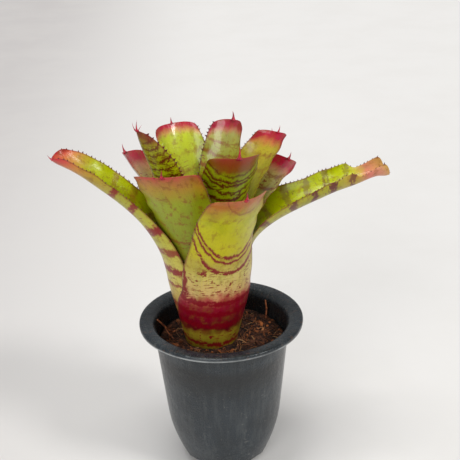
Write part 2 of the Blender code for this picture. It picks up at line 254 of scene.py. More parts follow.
PLANT_X = -0.0119
BLADE_COLUMNS = 26
COLUMN_CROWDING = 1.25
ROW_STEP = 1.25 * MM
TIP_LENGTH = 10 * MM
ROUND_POWER = 2.3
LEAF_SKIN = 0.00078
WELD = 1e-6
# The tip lies this share of a row's step past the last row that cad_rows gives.
LAST_STEP = 0.030 / 0.095


def cad_rows(name):
    """The rows of points of a CAD leaf's outer and inner face, from its base to near its tip.

    The CAD leaf is a closed sheet of rings. Each ring lies one step of edges further from the base.
    """
    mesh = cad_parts[name].data
    flat = np.empty(len(mesh.vertices) * 3)
    mesh.vertices.foreach_get("co", flat)
    points = flat.reshape(-1, 3)
    places = np.round(points / WELD).astype(np.int64)
    _, first, index = np.unique(places, axis=0, return_index=True, return_inverse=True)
    points = points[first]
    index = index.ravel()
    near = [set() for _ in points]
    for polygon in mesh.polygons:
        corners = [int(index[i]) for i in polygon.vertices]
        for a, b in zip(corners, corners[1:] + corners[:1]):
            if a != b:
                near[a].add(b)
                near[b].add(a)
    radius = np.hypot(points[:, 0] - PLANT_X, points[:, 1])
    row = set(np.flatnonzero(radius < radius.min() + 0.9 * MM).tolist())
    seen = set()
    rows = []
    while row:
        rows.append(row)
        seen |= row
        row = {b for a in row for b in near[a]} - seen
    rings = [points[walk(row, near)] for row in rows[1:-1]]
    # This row is clear of the base, so its shortest edges lie on the two margins.
    clear = 4
    lengths = np.linalg.norm(rings[clear] - np.roll(rings[clear], -1, axis=0), axis=1)
    half = len(rings[clear]) // 2
    start = (int(np.argmin(lengths)) + 1) % (2 * half)
    rings[clear] = np.roll(rings[clear], -start, axis=0)
    for k in list(range(clear + 1, len(rings))) + list(range(clear - 1, -1, -1)):
        beside = rings[k - 1] if k > clear else rings[k + 1]
        ways = (rings[k], rings[k][::-1])
        turns = [np.roll(way, -shift, axis=0) for way in ways for shift in range(2 * half)]
        rings[k] = min(turns, key=lambda ring: np.linalg.norm(ring - beside, axis=1).sum())
    rings = np.array(rings)
    one, other = rings[:, :half], rings[:, half:][:, ::-1]
    from_axis = [np.hypot(*(side[clear, half // 2, :2] - (PLANT_X, 0.0))) for side in (one, other)]
    outer, inner = (one, other) if from_axis[0] > from_axis[1] else (other, one)
    across = outer[clear, half // 2 + 1] - outer[clear, half // 2 - 1]
    away = outer[clear, half // 2] - (PLANT_X, 0.0, outer[clear, half // 2, 2])
    if away[0] * across[1] - away[1] * across[0] < 0:
        outer, inner = outer[:, ::-1], inner[:, ::-1]
    return outer, inner


def walk(row, near):
    """The points of one ring, in order."""
    ring = [min(row)]
    while True:
        ahead = [b for b in near[ring[-1]] if b in row and b not in ring]
        if not ahead:
            return ring
        ring.append(min(ahead))


def leaf_sheet(name, look):
    """A leaf's fine middle surface and normals, and each point's distance from midline and tip."""
    outer, inner = cad_rows(name)
    middle = (outer + inner) / 2
    normal = unit(outer - inner)
    middle = np.concatenate([middle, [middle[-1] + (middle[-1] - middle[-2]) * LAST_STEP]])
    normal = np.concatenate([normal, [normal[-1]]])
    spine = middle[:, middle.shape[1] // 2]
    along = np.append(0, np.cumsum(np.linalg.norm(np.diff(spine, axis=0), axis=1)))
    length = along[-1]

    fine = np.linspace(0, length - TIP_LENGTH, int(length / ROW_STEP))
    end = length - TIP_LENGTH * (1 - np.sin(np.linspace(0, math.pi / 2, 15)[1:]))
    places = np.concatenate([fine, end])
    rows = hermite(along, middle, places)
    normals = hermite(along, normal, places)
    to_tip = (length - places) / MM

    near_tip = np.clip(1 - to_tip / look["round"], 0, 1)
    share = (1 - near_tip**ROUND_POWER) ** (1 / ROUND_POWER)
    if "outline" in look:
        knots, widths = zip(*look["outline"])
        share = share * np.interp(to_tip, knots, widths)
    columns = np.linspace(-1, 1, BLADE_COLUMNS + 1)
    columns = np.sign(columns) * (1 - (1 - np.abs(columns)) ** COLUMN_CROWDING)
    u = columns[None, :] * share[:, None]
    at = (u + 1) / 2 * (rows.shape[1] - 1)
    sheet = pick(rows, at)
    normals = unit(pick(normals, at))

    ripple = look["ripple"] * MM
    phase = sum(ord(letter) for letter in name)
    free = smooth_step(-to_tip, -52, -30) * smooth_step(to_tip, 0, 5)
    waves = np.sin(to_tip * 0.42 + phase)[:, None] * (u < 0)
    waves = waves + np.sin(to_tip * 0.36 + 2 * phase)[:, None] * (u > 0)
    dents = np.sin(to_tip * 0.21 + phase)[:, None] * np.sin(u * 5.1 + phase)
    lift = free[:, None] * ripple * (np.abs(u) ** 3 * waves + 0.35 * dents)
    curl = look["curl"] * MM * smooth_step(-to_tip, -9, 0)[:, None]
    sheet = sheet + normals * (lift + curl)[..., None]
    widths = np.linalg.norm(np.diff(sheet, axis=1), axis=2)
    across = np.concatenate([np.zeros((len(sheet), 1)), np.cumsum(widths, axis=1)], axis=1)
    across = (across - across[:, BLADE_COLUMNS // 2][:, None]) / MM
    return sheet, normals, u, across, to_tip


def pick(rows, at):
    """Reads each row of points at its own places across the row, on a smooth curve."""
    slopes = np.gradient(rows, axis=1)
    i = np.clip(np.floor(at).astype(int), 0, rows.shape[1] - 2)
    t = (at - i)[..., None]
    r = np.arange(len(rows))[:, None]
    return between(t, rows[r, i], rows[r, i + 1], slopes[r, i], slopes[r, i + 1])


def add_teeth(parts, sheet, normals, to_tip, look, rng):
    """Small spines along both margins of the blade, leaning towards the tip."""
    size = look["tooth"] * MM
    for column, inside in ((0, 1), (-1, -2)):
        margin = sheet[:, column]
        outward = unit(margin - sheet[:, inside])
        place = 4.0
        while place < look["teeth_to"]:
            k = int(np.argmin(np.abs(to_tip - place)))
            forward = unit(margin[min(k + 1, len(margin) - 1)] - margin[k - 1])
            grown = size * rng.uniform(0.7, 1.25)
            side = 0.55 * grown
            root = margin[k] - outward[k] * 0.25 * MM
            point = margin[k] + outward[k] * grown + forward * grown * rng.uniform(0.3, 0.8)
            flat = normals[k, column] * 0.22 * MM
            ring = [root - forward * side, root + flat, root + forward * side, root - flat]
            faces = [(0, 1, 4), (1, 2, 4), (2, 3, 4), (3, 0, 4), (3, 2, 1, 0)]
            parts.add(ring + [point], faces, slot=1)
            place += rng.uniform(2.2, 3.4)


def add_thorn(parts, base, direction, bend, across, length, radius):
    """A curved, slightly flattened and tapering point with a broad foot."""
    steps, sides, flat = 9, 8, 0.6
    direction = unit(direction)
    across = unit(across)
    up = unit(np.cross(across, direction))
    points = []
    for i in range(steps):
        t = i / (steps - 1)
        middle = base + direction * length * t + unit(bend) * length * 0.35 * t * t
        wide = radius * ((1 - t) ** 0.9 * 0.8 + 0.9 * math.exp(-t * 7) + 0.04)
        for j in range(sides):
            angle = 2 * math.pi * j / sides
            points.append(middle + wide * (across * math.cos(angle) + up * math.sin(angle) * flat))
    parts.add(points, tube_faces(steps, sides), slot=1, tint=1.0)


def make_leaf(name, look, spine_look):
    rng = np.random.default_rng(SEED + sum(ord(letter) for letter in name))
    sheet, normals, u, across, to_tip = leaf_sheet(name, look)
    count, columns = u.shape
    full = np.abs(u).max(axis=1, keepdims=True)
    rim = 1 - 0.6 * (np.abs(u) / np.maximum(full, 1e-6)) ** 5
    taper = 0.35 + 0.65 * smooth_step(to_tip, 0, 4)[:, None]
    half = (LEAF_SKIN / 2 * rim * taper)[..., None]
    faces_of = (sheet + normals * half, sheet - normals * half)
    parts = Parts()
    for side, points in enumerate(faces_of):
        faces = [
            (i * columns + j, i * columns + j + 1, (i + 1) * columns + j + 1, (i + 1) * columns + j)
            for i in range(count - 1)
            for j in range(columns - 1)
        ]
        if side:
            faces = [face[::-1] for face in faces]
        parts.add(points.reshape(-1, 3), faces)
    inner = count * columns
    last = (count - 1) * columns
    rim_faces = []
    for i in range(count - 1):
        a, b = i * columns, (i + 1) * columns
        rim_faces.append((a, b, inner + b, inner + a))
        a, b = a + columns - 1, b + columns - 1
        rim_faces.append((a, inner + a, inner + b, b))
    for j in range(columns - 1):
        rim_faces.append((j, inner + j, inner + j + 1, j + 1))
        rim_faces.append((last + j, last + j + 1, inner + last + j + 1, inner + last + j))
    parts.faces.extend(rim_faces)
    parts.slots.extend([0] * len(rim_faces))

    leaf_points = len(parts.points)
    add_teeth(parts, sheet, normals, to_tip, look, rng)
    tip = sheet[-1].mean(axis=0)
    forward = unit(tip - sheet[-8, columns // 2])
    crosswise = unit(sheet[-12, -1] - sheet[-12, 0])
    mucro = {**DEFAULT_MUCRO, **look["mucro"]}
    sway = crosswise * mucro["sideways"] + normals[-1, columns // 2] * mucro["back"]
    thorns = [(0.0, mucro["turn"], mucro["length"], mucro["radius"], 0.8)]
    thorns += [(*further, 0.5, 0.5) for further in mucro["extra"]]
    for share, turn, length, radius, sunk in thorns:
        base = tip - forward * sunk * MM + crosswise * share * MM
        add_thorn(parts, base, forward + crosswise * turn, sway, crosswise, length * MM, radius * MM)

    obj = new_mesh(name + "_blade", parts.points, parts.faces)
    mesh = obj.data
    mesh.materials.append(leaf_material(name, look))
    mesh.materials.append(spine_look)
    mesh.polygons.foreach_set("material_index", parts.slots)
    place = np.zeros((len(parts.points), 3), np.float32)
    place[:leaf_points, 0] = np.tile(across.ravel(), 2)
    place[:leaf_points, 1] = np.tile(np.repeat(to_tip, columns), 2)
    place[:leaf_points, 2] = np.tile(u.ravel(), 2)
    place[leaf_points:, 1] = 1.0
    layer = mesh.attributes.new("leaf_place", "FLOAT_VECTOR", "POINT")
    layer.data.foreach_set("vector", place.ravel())
    face = np.zeros(len(parts.points), np.float32)
    face[leaf_points // 2 : leaf_points] = 1.0
    face[leaf_points:] = parts.tints[leaf_points:]
    layer = mesh.attributes.new("leaf_face", "FLOAT", "POINT")
    layer.data.foreach_set("value", face)
    return finish_piece(obj, "leaf", name)


# ---- leaves: colour

LEAF_SCALE = 180.0
BAND_SPREAD = 1.25
BAND_EDGE = 0.7
GREEN = (150, 160, 2)
LIME = (186, 196, 2)
OLIVE = (104, 116, 10)
CRIMSON = (158, 0, 42)
PINK = (196, 70, 78)
WINE = (98, 4, 22)
MAROON = (134, 14, 28)
STRAW = (196, 150, 86)

# How each leaf differs from DEFAULT_LOOK. Colours run from 0 to 255, places in millimetres from the tip.
#   outer, inner      colours of the two faces; wander and tip_along_margins stir them
#   bands             dark bands: place, half width, strength; sag and skew bend them
#   dash, blotch      how many short dashes and larger blotches there are, from the place "clear" on
#   inner_marks       how strongly marks and bands show on the inner face
#   round, outline    how the end is rounded and the blade narrowed
#   tooth, teeth_to   the size of the teeth, and where they end
#   mucro             the thorn at the tip; extra ones have a place across, a turn and a length
LOOKS = {
    "front_leaf": {
        "outer": [
            (0, 178, 92, 58), (6, 176, 108, 44), (13, 168, 142, 24), (22, 184, 182, 2),
            (50, 188, 178, 10), (60, 176, 160, 62), (72, 200, 184, 104), (83, 204, 170, 112),
            (89, 168, 70, 66), (94, 138, 14, 46), (104, 122, 4, 34), (113, *WINE), (119, 156, 138, 40),
            (136, 128, 112, 26),
        ],
        "inner": [(0, 186, 104, 70), (14, 192, 148, 93), (40, *GREEN)],
        "bands": [
            (13, 0.3, 0.5), (54, 0.8, 1), (58.5, 0.7, 1), (67, 1.0, 1), (92, 1.2, 1), (101, 1.4, 1),
            (111, 1.5, 1), (127, 1.1, 1),
        ],
        "dash": 0.55, "blotch": 0.55, "clear": 60, "mark": (124, 2, 22), "tip_along_margins": 4,
        "wander": 15.0, "stain": 0.45, "sag": 20.0, "skew": 8.0,
        "mucro": {"length": 6.5, "radius": 1.2, "sideways": -0.4},
    },
    "left_arching_leaf": {
        "outer": [
            (0, 196, 44, 60), (5, 204, 84, 74), (13, 200, 134, 66), (26, 180, 150, 44),
            (45, 168, 164, 48), (80, 182, 178, 66), (110, 206, 190, 98), (135, 184, 128, 70),
            (160, 120, 74, 34),
        ],
        "inner": [(0, *CRIMSON), (5, 205, 96, 70), (13, 206, 152, 78), (26, *LIME), (95, *GREEN)],
        "bands": [
            (43, 1.4, 0.95), (58, 1.5, 0.95), (75, 1.7, 1), (88, 1.4, 0.9), (101, 1.8, 1),
            (112, 0.8, 0.9), (128, 1.6, 0.9),
        ],
        "dash": 0.35, "blotch": 0.3, "clear": 16, "tooth": 1.1, "teeth_to": 95, "inner_marks": 0.45,
        "mucro": {"length": 4.0, "radius": 0.9, "back": -0.8},
    },
    "right_arching_leaf": {
        "outer": [
            (0, *STRAW), (5, 206, 140, 112), (13, 204, 112, 100), (22, 182, 150, 60), (36, 164, 158, 42),
            (90, 168, 162, 44), (120, 196, 160, 84), (150, 150, 92, 50),
        ],
        "inner": [(0, *STRAW), (12, 210, 130, 110), (22, *LIME), (90, *GREEN)],
        "bands": [
            (26, 1.3, 0.8), (40, 1.6, 0.95), (53, 1.5, 0.95), (67, 1.4, 0.9), (82, 1.2, 0.9),
            (100, 1.2, 0.9), (124, 1.0, 0.8),
        ],
        "outline": [(0, 1.1), (5, 1.0), (12, 0.78), (18, 0.7), (20, 0.74), (23, 0.95), (40, 1.0)],
        "dash": 0.3, "blotch": 0.25, "clear": 20, "mark": (96, 26, 44), "tooth": 1.1, "teeth_to": 85,
        "round": 4.0, "ripple": 0.9, "curl": 1.5,
        "mucro": {"length": 3.0, "radius": 0.8},
    },
    "back_outer_leaf": {
        "outer": [(0, *CRIMSON), (8, *PINK), (16, 130, 130, 70)],
        "inner": [(0, *CRIMSON), (8, *PINK), (16, 150, 152, 60)],
    },
    "front_left_leaf": {
        "outer": [
            (0, 184, 60, 66), (4, 176, 100, 54), (11, 170, 132, 34), (24, 146, 156, 22),
            (60, 132, 140, 32), (80, 160, 142, 52), (105, 120, 60, 40), (120, *MAROON),
        ],
        "inner": [(0, *PINK), (10, *LIME)],
        "bands": [(55, 0.7, 0.6), (72, 1.0, 0.9), (88, 1.2, 0.9), (104, 1.2, 0.9)],
        "dash": 0.12, "blotch": 0.1, "clear": 44, "outer_rough": 0.36, "specks": 1.0, "stain": 0.75,
        "mucro": {"length": 5.5, "radius": 1.2, "sideways": 0.3, "extra": [(-5, -0.3, 3.0)]},
    },
    "right_red_leaf": {
        "outer": [(0, *CRIMSON), (6, 205, 60, 76), (12, 204, 140, 92), (20, 184, 178, 60)],
        "inner": [
            (0, 176, 0, 48), (7, 190, 18, 66), (11, 204, 140, 112), (16, 208, 196, 120),
            (34, 178, 176, 52),
        ],
        "bands": [(17, 0.9, 0.7), (27, 1.0, 0.8), (38, 1.0, 0.8)],
        "blotch": 0.55, "inner_marks": 0.95, "clear": 13, "coat": 0.8, "tip_along_margins": 8,
        "mucro": {"length": 5.5, "radius": 1.3, "sideways": 0.6},
    },
    "left_red_leaf": {
        "outer": [(0, *CRIMSON), (8, 200, 60, 60), (14, 180, 130, 66), (26, 160, 146, 50)],
        "inner": [
            (0, 166, 0, 42), (8, 180, 18, 54), (12, 196, 126, 96), (20, 178, 150, 74), (36, 168, 164, 44),
        ],
        "bands": [(31, 1.2, 0.9), (43, 1.0, 0.8)],
        "blotch": 0.4, "inner_marks": 0.9, "clear": 13, "coat": 0.8,
        "mucro": {"length": 6.0, "radius": 1.4},
    },
    "back_right_leaf": {
        "outer": [(0, *CRIMSON), (7, *PINK), (15, *LIME)],
        "inner": [
            (0, 160, 0, 42), (5, 178, 20, 54), (9, 196, 120, 66), (14, 188, 170, 44), (40, 168, 164, 40),
        ],
        "bands": [(20, 0.7, 0.5), (31, 0.8, 0.6)],
        "blotch": 0.2, "tip_along_margins": 8,
        "mucro": {"length": 5.0, "radius": 1.0, "extra": [(6, 0.5, 2.5)]},
    },
    "left_spiny_leaf": {
        "outer": [
            (0, 110, 30, 24), (5, 120, 70, 24), (12, 150, 150, 12), (30, 172, 184, 8), (90, *GREEN),
        ],
        "inner": [(0, 120, 34, 28), (6, 140, 110, 24), (14, 166, 178, 16)],
        "bands": [
            (9, 0.3, 0.9), (14, 0.4, 1), (18.5, 0.3, 0.9), (23, 0.45, 1), (28.5, 0.35, 1), (34, 0.45, 1),
            (42, 0.5, 1),
        ],
        "dash": 1.0, "blotch": 0.45, "clear": 8, "mark": (96, 18, 8), "inner_marks": 0.9, "tooth": 1.5,
        "mucro": {"length": 6.5, "radius": 0.9, "turn": 0.1, "extra": [(-1.6, -0.9, 5.0), (1.0, 0.9, 6.0)]},
    },
    "front_inner_leaf": {
        "outer": [
            (0, 150, 56, 46), (5, 140, 64, 26), (10, 132, 84, 16), (12.5, 140, 150, 8), (22, 150, 170, 2),
            (70, *GREEN),
        ],
        "inner": [(0, 160, 80, 50), (10, *LIME)],
        "bands": [
            (14, 0.3, 0.9), (18.5, 0.45, 1), (21.5, 0.45, 1), (27, 0.5, 1), (32.5, 0.8, 1), (39, 0.7, 1),
            (46, 0.8, 1),
        ],
        "dash": 0.5, "blotch": 0.2, "clear": 12, "mark": (92, 14, 8), "tip_along_margins": -7, "sag": 8.0,
        "mucro": {"length": 7.5, "radius": 1.3, "back": -0.2},
    },
    "back_left_leaf": {
        "outer": [(0, *CRIMSON), (5, *PINK), (12, *LIME)],
        "inner": [
            (0, 170, 4, 44), (2.5, 184, 30, 56), (5.5, 204, 150, 84), (9, 192, 204, 40),
            (40, 170, 178, 34),
        ],
        "bands": [(22, 0.6, 0.4), (33, 0.8, 0.6)],
        "blotch": 0.1, "dash": 0.2, "tip_along_margins": 6, "coat": 0.6,
        "mucro": {"length": 4.5, "radius": 1.0},
    },
    "back_leaf": {
        "outer": [(0, *CRIMSON), (5, *PINK), (12, *OLIVE)],
        "inner": [
            (0, 160, 0, 48), (4.5, 174, 12, 56), (7.0, 190, 120, 92), (10, 176, 172, 96),
            (26, 160, 162, 50), (50, *GREEN),
        ],
        "bands": [(17, 0.6, 0.6), (25, 0.7, 0.7), (34, 0.9, 0.8), (42, 0.9, 0.8)],
        "dash": 0.5, "blotch": 0.2, "inner_marks": 0.9, "tooth": 1.3, "tip_along_margins": 6, "coat": 0.7,
        "rim": (72, 8, 22),
        "mucro": {"length": 6.0, "radius": 1.5},
    },
    "young_leaf": {
        "outer": [(0, *CRIMSON), (6, *OLIVE), (14, *GREEN)],
        "inner": [(0, *CRIMSON), (6, *LIME)],
    },
}

DEFAULT_MUCRO = {"length": 6.0, "radius": 0.75, "turn": 0.0, "sideways": 0.0, "back": -0.4, "extra": ()}
DEFAULT_LOOK = {
    "outer": [(0, *CRIMSON), (8, *PINK), (16, *LIME)],
    "inner": [(0, *CRIMSON), (10, *PINK), (20, *LIME)],
    "bands": [],
    "dash": 0.4, "blotch": 0.3, "clear": 12, "wander": 7.0, "ribs": 0.5, "inner_marks": 0.6,
    "tip_along_margins": 5, "patch": OLIVE, "rib": (200, 198, 92), "mark": MAROON, "rim": (112, 40, 24),
    "stain": 0.5, "stained": (134, 82, 22), "specks": 0.8, "speck": (76, 34, 14), "outer_rough": 0.33,
    "inner_rough": 0.2, "coat": 0.12, "sag": 3.0, "skew": 0.0, "round": 6.0, "ripple": 0.5, "curl": 0.0,
    "tooth": 0.95, "teeth_to": 62.0, "mucro": {},
}


def leaf_material(name, look):
    """A leaf's two faces: its ground colours along the blade, dark bands, marks, fine ribs and gloss."""
    m = Look(name + "_skin")
    across, to_tip, u = m.split(m.attribute("leaf_place").outputs["Vector"])
    inner = m.attribute("leaf_face").outputs["Fac"]
    seed = float(sum(ord(letter) for letter in name) % 97)

    def spread(crosswise, lengthwise, shift, detail, roughness=0.5):
        """Noise over the leaf's own surface, with a scale across it and a scale along it."""
        place = m.join(m.mul(across, crosswise), m.mul(to_tip, lengthwise), seed + shift)
        return m.noise(place, 1.0, detail, roughness)

    wander = m.sub(spread(0.16, 0.10, 0, 3.0), 0.5)
    to_margin = m.math("POWER", m.math("ABSOLUTE", u), 4.0)
    pulled = m.mul(m.mul(to_margin, look["tip_along_margins"]), m.step(to_tip, 26, 5))
    place = m.sub(m.math("MULTIPLY_ADD", wander, look["wander"], to_tip), pulled)
    ground = []
    for key in ("outer", "inner"):
        stops = [(min(mm / LEAF_SCALE, 1.0), srgb(*colour)) for mm, *colour in look[key]]
        ground.append(m.ramp(m.math("DIVIDE", place, LEAF_SCALE), stops))
    ground = m.blend(inner, ground[0], ground[1])

    # Soft patches of lighter and darker green, and the fine ribs that run along the leaf.
    patches = spread(0.10, 0.06, 5, 4.0, 0.6)
    ground = m.blend(m.step(patches, 0.45, 0.75, 0.0, 0.30), ground, srgb(*look["patch"]))
    ribs = spread(2.2, 0.035, 0, 2.0, 0.6)
    ground = m.blend(m.step(ribs, 0.35, 0.8, 0.0, look["ribs"]), ground, srgb(*look["rib"]), "SOFT_LIGHT")
    stain = spread(0.22, 0.17, 53, 5.0, 0.7)
    ground = m.blend(m.step(stain, 0.50, 0.64, 0.0, look["stain"]), ground, srgb(*look["stained"]))

    # Bands at their own places, broken up along their length.
    edge = spread(0.26, 0.16, 11, 2.5, 0.55)
    drips = spread(1.1, 0.05, 17, 2.0)
    ragged = m.math("MULTIPLY_ADD", m.sub(edge, 0.5), 5.0, to_tip)
    ragged = m.math("MULTIPLY_ADD", m.sub(drips, 0.5), 3.0, ragged)
    sagging = m.sub(m.mul(m.mul(u, u), look["sag"]), m.mul(u, look["skew"]))
    ragged = m.add(ragged, m.mul(sagging, m.step(to_tip, 92, 64, 0.15, 1.0)))
    breaks = spread(0.20, 0.5, 23, 2.0)
    dark = 0.0
    if look["bands"]:
        stops = []
        for mm, half, strength in look["bands"]:
            full = half * BAND_SPREAD
            end = full + BAND_EDGE
            for offset, value in ((-end, 0.0), (-full, strength), (full, strength), (end, 0.0)):
                stops.append(((mm + offset) / LEAF_SCALE, value))
        stops.sort()
        bands = m.ramp(m.math("DIVIDE", ragged, LEAF_SCALE), stops)
        dark = m.mul(bands, m.step(breaks, 0.30, 0.42))

    # Short dashes across the leaf, and larger blotches.
    share = look["dash"]
    dash = m.step(spread(0.20, 0.85, 31, 3.0, 0.6), 0.63 - 0.12 * share, 0.67 - 0.10 * share)
    zone = spread(0.05, 0.06, 37, 1.0)
    dash = m.mul(dash, m.step(zone, 0.42, 0.58, share * 0.6, 1.0))
    share = look["blotch"]
    blotch = m.step(spread(0.13, 0.16, 41, 4.0, 0.7), 0.66 - 0.14 * share, 0.69 - 0.12 * share)
    keep_tip_clear = m.step(to_tip, look["clear"], look["clear"] + 6)
    marks = m.mul(m.most(dash, blotch), keep_tip_clear)
    marks = m.most(marks, dark)
    faint = m.step(inner, 0.4, 0.6, 1.0, look["inner_marks"])
    colour = m.blend(m.mul(m.mul(marks, faint), 0.96), ground, srgb(*look["mark"]))

    # A thin red-brown line along the margins, and small dark specks.
    rim = m.step(m.math("ABSOLUTE", u), 0.93, 0.99, 0.0, 0.55)
    colour = m.blend(rim, colour, srgb(*look["rim"]))
    dots = m.cells(m.join(across, to_tip, seed), 0.9)
    sparse = spread(0.7, 0.7, 3, 1.0)
    dots = m.mul(m.step(dots, 0.17, 0.09), m.step(sparse, 0.52, 0.6))
    colour = m.blend(m.mul(dots, look["specks"]), colour, srgb(*look["speck"]))

    rough = m.step(inner, 0.4, 0.6, look["outer_rough"], look["inner_rough"])
    rough = m.math("MULTIPLY_ADD", m.sub(patches, 0.5), 0.25, rough, clamp=True)
    ridges = m.mul(ribs, 0.6)
    height = m.add(ridges, m.add(m.mul(patches, 1.2), m.mul(stain, 0.8)))
    m.set(Base_Color=colour, Roughness=rough, IOR=1.45, Normal=m.bump(height, 0.40 * MM, 0.65))
    m.set(Coat_Weight=look["coat"], Coat_Roughness=0.10, Specular_IOR_Level=0.26)
    return m.material


def spine_material():
    m = Look("leaf_spines")
    place = m.position()
    grain = m.noise(place, 900.0, 3.0)
    tooth = m.blend(m.step(grain, 0.4, 0.62), srgb(112, 20, 24), srgb(60, 16, 10))
    point = m.blend(m.step(grain, 0.4, 0.62), srgb(186, 20, 52), srgb(132, 14, 34))
    colour = m.blend(m.attribute("leaf_face").outputs["Fac"], tooth, point)
    m.set(Base_Color=colour, Roughness=0.28, Normal=m.bump(grain, 0.1 * MM, 0.5))
    return m.material


# ---- pot

POT_X = -0.0049
POT_SIDES = 288
POT_HEIGHT = 0.1040
NECK_HEIGHT = 0.0960
NECK_RADIUS = 0.0452
WALL_SLOPE = 0.105
TUCK_HEIGHT = 0.0350
TUCK_DEPTH = 0.0076
LIP_RADIUS = 0.0550
LIP_FOOT = 0.0995
WALL = 0.0016
FLOOR_TOP = 0.0083
FLOOR_BOTTOM = 0.0065
NOTCH_WIDTH = 0.0190
NOTCH_HEIGHT = 0.0042
NOTCH_FADE = 0.0090
DRAINS = 6
FIRST_DRAIN = 15
DRAIN_RING = 0.0150
DRAIN_RADIUS = 0.0035


def wall_radius(z):
    """The outside of the wall: a straight taper that tucks in towards the foot."""
    tuck = TUCK_DEPTH * max(0.0, 1 - z / TUCK_HEIGHT) ** 1.8
    return NECK_RADIUS - WALL_SLOPE * (NECK_HEIGHT - z) - tuck


def in_pot(azimuth, radius, height):
    """A place by its direction and distance from the pot's axis."""
    angle = math.radians(azimuth)
    return (POT_X + radius * math.cos(angle), radius * math.sin(angle), height)


def pot_profile():
    """The closed outline of the pot's wall: up the outside, over the lip and down the inside."""
    heights = [
        0.0005, 0.0012, 0.0022, 0.0034, 0.0048, 0.0064, 0.0085, 0.0110, 0.0145, 0.0185, 0.0230, 0.0280,
        0.0340, 0.0420, 0.0520, 0.0620, 0.0720, 0.0820, 0.0900, 0.0945, 0.0970,
    ]
    outer = [(wall_radius(0.0) - 0.0004, 0.0)] + [(wall_radius(z), z) for z in heights]
    under = POT_HEIGHT - 0.0019
    lip = [
        (0.0454, 0.0990), (0.0460, 0.1006), (0.0470, 0.1016), (0.0482, under), (0.0500, under + 0.00002),
        (0.0520, under), (0.0529, under - 0.0002), (0.0534, 0.1013), (0.0537, 0.1010), (0.0545, 0.1009),
        (0.0549, 0.1012), (LIP_RADIUS, 0.1018), (LIP_RADIUS, 0.1026), (0.0549, 0.1032), (0.0546, 0.1037),
        (0.0541, 0.1039), (0.0534, 0.10405), (0.0520, 0.1041), (0.0500, 0.1040), (0.0485, 0.1039),
        (0.0474, 0.1037), (0.0464, 0.1032), (0.0455, 0.1024), (0.0448, 0.1013), (0.0443, 0.1000),
        (0.0439, 0.0985),
    ]
    inner = [(wall_radius(z) - WALL, z) for z in reversed(heights[:-1])]
    return outer + lip + inner + [(wall_radius(0.0) - WALL + 0.0003, 0.0)]


def make_pot():
    profile = pot_profile()
    angles = np.linspace(0, 2 * math.pi, POT_SIDES, endpoint=False)
    arch = (NOTCH_WIDTH**2 / 4 + NOTCH_HEIGHT**2) / (2 * NOTCH_HEIGHT)
    points = []
    for radius, z in profile:
        for angle in angles:
            around = Vector((math.cos(angle), math.sin(angle), z * 9))
            r = radius + 0.22 * MM * noise.noise(around * 1.6)
            high = z
            if z > LIP_FOOT:
                high += 0.22 * MM * noise.noise(around * 2.1 + Vector((7, 3, 1)))
                lip_edge_mark = noise.noise(around * 13.0 + Vector((2, 9, 5)))
                r -= 0.35 * MM * max(0.0, lip_edge_mark - 0.35) * (radius > 0.0530)
            aside = radius * math.sin(angle % (math.pi / 2) - math.pi / 4)
            if abs(aside) < NOTCH_WIDTH / 2 and z < NOTCH_FADE:
                roof = math.sqrt(arch**2 - aside**2) + NOTCH_HEIGHT - arch
                high = max(z, roof + z * 0.08)
            points.append((POT_X + r * math.cos(angle), r * math.sin(angle), high))
    count = len(profile)
    faces = []
    for i in range(count):
        below, above = i * POT_SIDES, (i + 1) % count * POT_SIDES
        for j in range(POT_SIDES):
            k = (j + 1) % POT_SIDES
            faces.append((below + j, below + k, above + k, above + j))
    parts = Parts()
    parts.add(points, faces)
    parts.add(*pot_floor())
    pot = new_mesh("pot_shell", parts.points, parts.faces)
    pot.data.materials.append(pot_material())
    return finish_piece(pot, "pot_plastic", "pot")


def disc_solid(name, x, y, radius, bottom, top, sides):
    turns = [2 * math.pi * i / sides for i in range(sides)]
    ring = [(x + radius * math.cos(turn), y + radius * math.sin(turn)) for turn in turns]
    points = [(*place, bottom) for place in ring] + [(*place, top) for place in ring]
    return new_mesh(name, points, tube_faces(2, sides), smooth=False)


def pot_floor():
    """The pot's floor with its drain holes, as points and faces. Its edge ends inside the wall."""
    radius = wall_radius(FLOOR_BOTTOM) - 0.5 * WALL
    floor = disc_solid("floor_disc", POT_X, 0.0, radius, FLOOR_BOTTOM, FLOOR_TOP, 96)
    holes = []
    for i in range(DRAINS):
        x, y, _ = in_pot(FIRST_DRAIN + 360 / DRAINS * i, DRAIN_RING, FLOOR_TOP)
        hole = disc_solid(f"drain_{i}", x, y, DRAIN_RADIUS, FLOOR_BOTTOM - 3 * MM, FLOOR_TOP + 3 * MM, 28)
        boolean = floor.modifiers.new(f"drain_{i}", "BOOLEAN")
        boolean.operation = "DIFFERENCE"
        boolean.object = hole
        holes.append(hole)
    seen = floor.evaluated_get(bpy.context.evaluated_depsgraph_get()).to_mesh()
    points = [tuple(vertex.co) for vertex in seen.vertices]
    faces = [tuple(polygon.vertices) for polygon in seen.polygons]
    for obj in [floor, *holes]:
        bpy.data.objects.remove(obj)
    return points, faces


